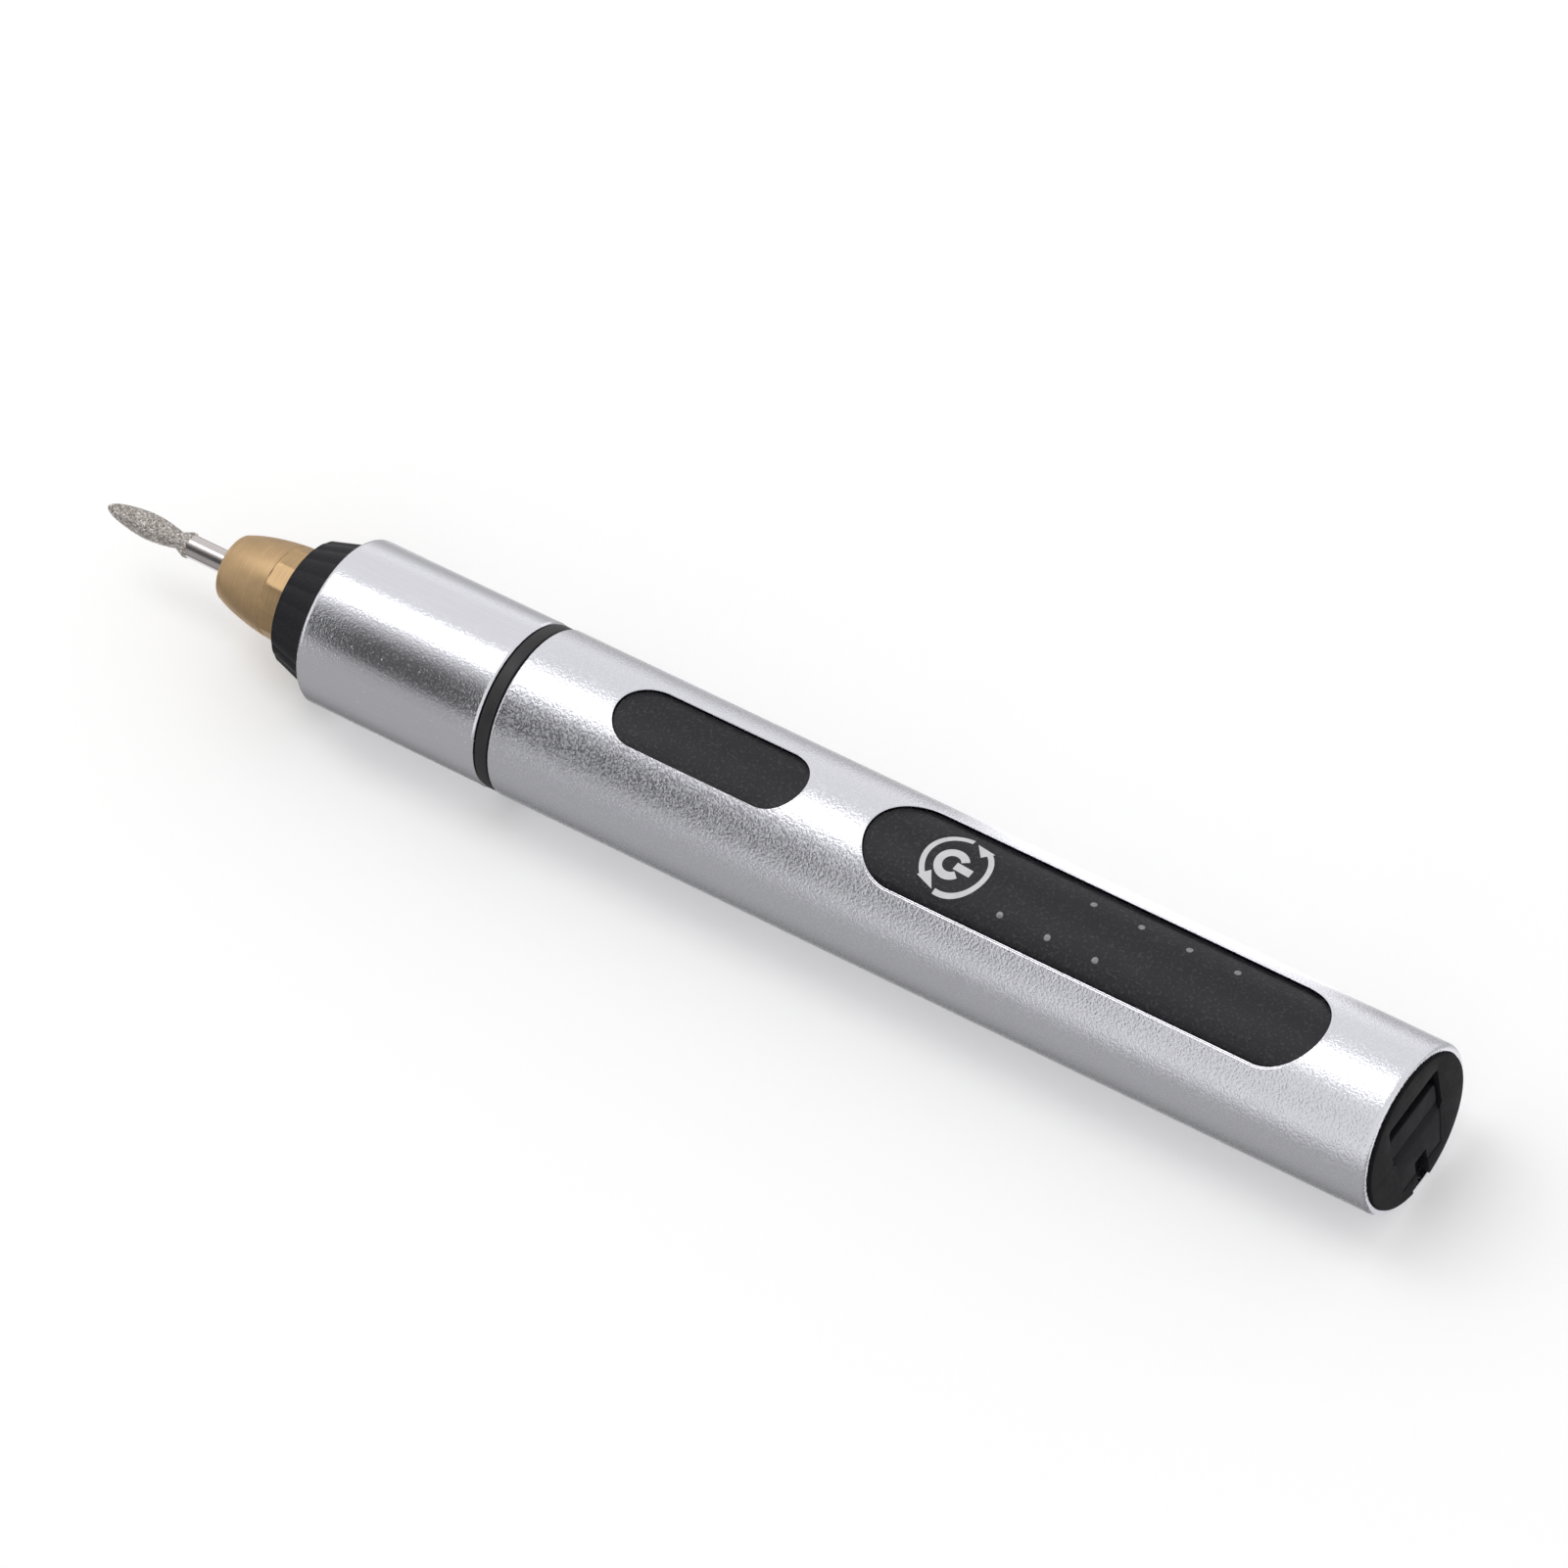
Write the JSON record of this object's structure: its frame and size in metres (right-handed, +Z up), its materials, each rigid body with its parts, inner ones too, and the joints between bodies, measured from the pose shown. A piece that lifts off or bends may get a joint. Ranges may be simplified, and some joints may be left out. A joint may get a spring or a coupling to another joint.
{
  "type": "electric engraving pen",
  "caption": "Slim cordless rotary engraving pen: round metal body with a flush control panel, ribbed nose, brass collet nut and a flame-shaped diamond burr.",
  "frame": {"origin": "on the surface the pen lies on, under the middle of its length and width", "axes": "+X along the pen from the burr's tip to the tail, +Z up through the control panel, +Y to the side of the row of four lamps"},
  "size_m": [0.1482, 0.017, 0.0169],
  "materials": {
    "satin_aluminium": "bead-blasted, satin, fine sparkling grain",
    "smooth_aluminium": "fine satin, smoother than the tube",
    "black_plastic": "matte moulded black",
    "charcoal_film": "matte charcoal film with a fine texture",
    "black_rubber": "matte black rubber",
    "brass": "turned, softly polished",
    "polished_steel": "ground and polished steel",
    "diamond_grit": "plated diamond grit, rough and sparkling",
    "grey_plastic": "moulded grey",
    "bright_steel": "plated sheet steel",
    "nickel": "nickel plate",
    "copper": "enamelled copper",
    "magnet": "sintered, dark grey",
    "green_board": "solder-masked board",
    "cell_wrap": "shrink sleeve",
    "clear_guide": "milky clear plastic",
    "white_print": "matte white print",
    "red_lead": "silicone insulation",
    "black_lead": "silicone insulation"
  },
  "bodies": {
    "casing": {"body_tube": "satin_aluminium", "joint_ring": "black_plastic", "front_sleeve": "smooth_aluminium", "nose_collar": "black_plastic", "front_inlay": "charcoal_film", "control_film": "charcoal_film", "panel_carrier": "black_plastic", "light_guide_1": "clear_guide", "light_guide_2": "clear_guide", "light_guide_3": "clear_guide", "light_guide_4": "clear_guide", "light_guide_5": "clear_guide", "light_guide_6": "clear_guide", "light_guide_7": "clear_guide", "switch_body": "bright_steel", "control_board": "green_board", "inner_chassis": "grey_plastic", "cell": "cell_wrap", "cell_tab_rear": "nickel", "cell_tab_front": "nickel", "motor_lead_red": "red_lead", "motor_lead_black": "black_lead", "tail_cap": "black_plastic", "cover_strap": "black_rubber", "charge_socket": "nickel", "socket_tongue": "black_plastic", "charge_board": "green_board", "motor_can": "bright_steel", "motor_end_bell": "black_plastic", "magnet_near": "magnet", "magnet_far": "magnet", "brush_near": "nickel", "brush_far": "nickel", "bearing_housing": "brass", "front_bearing_outer_ring": "polished_steel", "rear_bearing_outer_ring": "polished_steel"},
    "key": {"power_key": "charcoal_film", "switch_plunger": "black_plastic"},
    "cover": {"port_cover": "black_rubber"},
    "rotor": {"spindle": "polished_steel", "drive_coupling": "brass", "grub_screw_motor": "bright_steel", "grub_screw_spindle": "bright_steel", "motor_shaft": "polished_steel", "armature_core": "bright_steel", "winding_1": "copper", "winding_2": "copper", "winding_3": "copper", "commutator": "copper", "front_bearing_inner_ring": "polished_steel", "rear_bearing_inner_ring": "polished_steel"},
    "ball_cages": {"front_bearing_ball_cage": "brass", "rear_bearing_ball_cage": "brass"},
    "chuck": {"collet": "polished_steel"},
    "nut": {"collet_nut": "brass"},
    "burr": {"burr_shank": "polished_steel", "burr_head": "diamond_grit"}
  },
  "joints": [
    {"name": "spindle_spin", "type": "hinge", "parent": "casing", "child": "rotor", "pos_m": [-0.0496, 0, 0.00846], "axis": [1, 0, 0], "continuous": true},
    {"name": "cage_spin", "type": "hinge", "parent": "casing", "child": "ball_cages", "pos_m": [-0.0403, 0, 0.00846], "axis": [1, 0, 0], "continuous": true},
    {"name": "nut_turn", "type": "hinge", "parent": "chuck", "child": "nut", "pos_m": [-0.05035, 0, 0.00846], "axis": [-1, 0, 0], "range_deg": [0, 540]},
    {"name": "collet_slide", "type": "slide", "parent": "rotor", "child": "chuck", "axis": [-1, 0, 0], "range_m": [0, 0.00075]},
    {"name": "burr_pull", "type": "slide", "parent": "chuck", "child": "burr", "axis": [-1, 0, 0], "range_m": [0, 0.0195]},
    {"name": "power_press", "type": "slide", "parent": "casing", "child": "key", "axis": [0, 0, -1], "range_m": [0, 0.0003], "stiffness_N_per_m": 2000},
    {"name": "cover_open", "type": "hinge", "parent": "casing", "child": "cover", "pos_m": [0.07378, 0, 0.00846], "axis": [0, 1, 0], "range_deg": [0, 120], "stiffness_Nm_per_rad": 0.001}
  ],
  "couplings": [
    {"joint": "cage_spin", "follows": "spindle_spin", "ratio": 0.453},
    {"joint": "nut_turn", "follows": "collet_slide", "rad_per_m": 12566}
  ]
}
